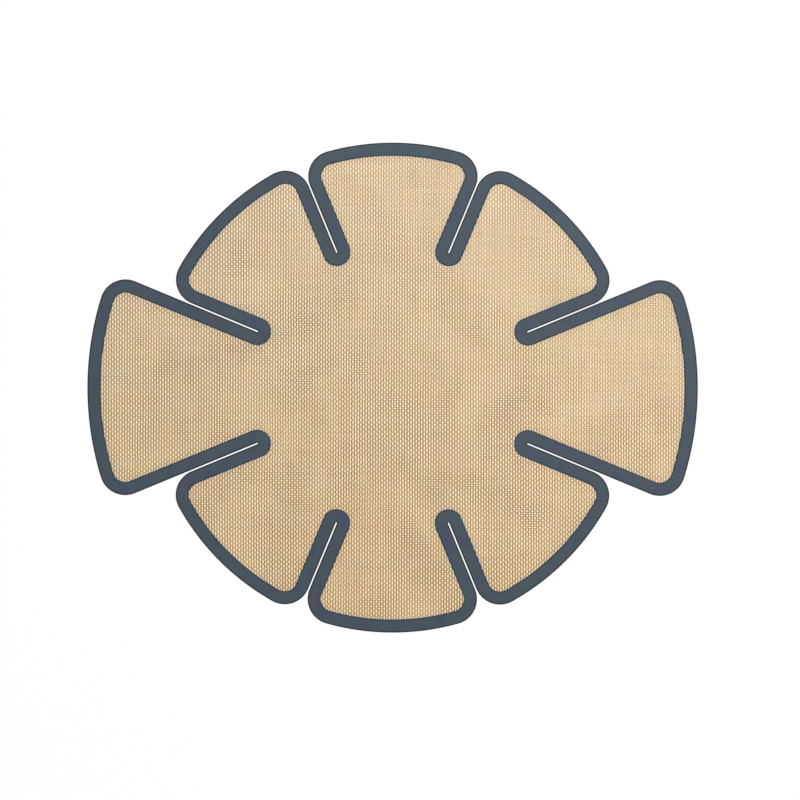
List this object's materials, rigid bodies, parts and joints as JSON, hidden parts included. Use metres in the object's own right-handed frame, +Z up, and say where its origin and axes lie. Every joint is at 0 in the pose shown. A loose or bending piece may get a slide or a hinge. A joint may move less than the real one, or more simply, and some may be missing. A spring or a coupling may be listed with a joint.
{
  "type": "baking liner",
  "caption": "Flat round baking liner of woven silicone-coated cloth with a dark sealed border and slit flaps that fold up round a loaf, longer on the left and right for lifting it.",
  "frame": {"origin": "centre of the underside of the sheet, which lies flat", "axes": "+X along the long right lifting flap, +Y towards the back flap, +Z up, out of the face that the loaf sits on"},
  "size_m": [0.4186, 0.336, 0.0009],
  "materials": {
    "tan_silicone": "satin",
    "slate_silicone": "satin",
    "glass_cloth": "matte"
  },
  "bodies": {
    "base": {"base_lower_coat": "tan_silicone", "base_glass_cloth": "glass_cloth", "base_upper_coat": "tan_silicone", "slit_end_border_1": "slate_silicone", "slit_end_border_2": "slate_silicone", "slit_end_border_3": "slate_silicone", "slit_end_border_4": "slate_silicone", "slit_end_border_5": "slate_silicone", "slit_end_border_6": "slate_silicone", "slit_end_border_7": "slate_silicone", "slit_end_border_8": "slate_silicone"},
    "right_lifting_flap": {"right_lifting_flap_lower_coat": "tan_silicone", "right_lifting_flap_glass_cloth": "glass_cloth", "right_lifting_flap_upper_coat": "tan_silicone", "right_lifting_flap_border": "slate_silicone"},
    "back_right_flap": {"back_right_flap_lower_coat": "tan_silicone", "back_right_flap_glass_cloth": "glass_cloth", "back_right_flap_upper_coat": "tan_silicone", "back_right_flap_border": "slate_silicone"},
    "back_flap": {"back_flap_lower_coat": "tan_silicone", "back_flap_glass_cloth": "glass_cloth", "back_flap_upper_coat": "tan_silicone", "back_flap_border": "slate_silicone"},
    "back_left_flap": {"back_left_flap_lower_coat": "tan_silicone", "back_left_flap_glass_cloth": "glass_cloth", "back_left_flap_upper_coat": "tan_silicone", "back_left_flap_border": "slate_silicone"},
    "left_lifting_flap": {"left_lifting_flap_lower_coat": "tan_silicone", "left_lifting_flap_glass_cloth": "glass_cloth", "left_lifting_flap_upper_coat": "tan_silicone", "left_lifting_flap_border": "slate_silicone"},
    "front_left_flap": {"front_left_flap_lower_coat": "tan_silicone", "front_left_flap_glass_cloth": "glass_cloth", "front_left_flap_upper_coat": "tan_silicone", "front_left_flap_border": "slate_silicone"},
    "front_flap": {"front_flap_lower_coat": "tan_silicone", "front_flap_glass_cloth": "glass_cloth", "front_flap_upper_coat": "tan_silicone", "front_flap_border": "slate_silicone"},
    "front_right_flap": {"front_right_flap_lower_coat": "tan_silicone", "front_right_flap_glass_cloth": "glass_cloth", "front_right_flap_upper_coat": "tan_silicone", "front_right_flap_border": "slate_silicone"}
  },
  "joints": [
    {"name": "right_lifting_flap_fold", "type": "hinge", "parent": "base", "child": "right_lifting_flap", "pos_m": [0.09999, 0, 0.00085], "axis": [0, -1, 0], "range_deg": [0, 90], "stiffness_Nm_per_rad": 0.011},
    {"name": "back_right_flap_fold", "type": "hinge", "parent": "base", "child": "back_right_flap", "pos_m": [0.0707, 0.0707, 0.00085], "axis": [0.7071, -0.7071, 0], "range_deg": [0, 70], "stiffness_Nm_per_rad": 0.011},
    {"name": "back_flap_fold", "type": "hinge", "parent": "base", "child": "back_flap", "pos_m": [0, 0.09999, 0.00085], "axis": [1, 0, 0], "range_deg": [0, 90], "stiffness_Nm_per_rad": 0.011},
    {"name": "back_left_flap_fold", "type": "hinge", "parent": "base", "child": "back_left_flap", "pos_m": [-0.0707, 0.0707, 0.00085], "axis": [0.7071, 0.7071, 0], "range_deg": [0, 70], "stiffness_Nm_per_rad": 0.011},
    {"name": "left_lifting_flap_fold", "type": "hinge", "parent": "base", "child": "left_lifting_flap", "pos_m": [-0.09999, 0, 0.00085], "axis": [0, 1, 0], "range_deg": [0, 90], "stiffness_Nm_per_rad": 0.011},
    {"name": "front_left_flap_fold", "type": "hinge", "parent": "base", "child": "front_left_flap", "pos_m": [-0.0707, -0.0707, 0.00085], "axis": [-0.7071, 0.7071, 0], "range_deg": [0, 70], "stiffness_Nm_per_rad": 0.011},
    {"name": "front_flap_fold", "type": "hinge", "parent": "base", "child": "front_flap", "pos_m": [0, -0.09999, 0.00085], "axis": [-1, 0, 0], "range_deg": [0, 90], "stiffness_Nm_per_rad": 0.011},
    {"name": "front_right_flap_fold", "type": "hinge", "parent": "base", "child": "front_right_flap", "pos_m": [0.0707, -0.0707, 0.00085], "axis": [-0.7071, -0.7071, 0], "range_deg": [0, 70], "stiffness_Nm_per_rad": 0.011}
  ]
}
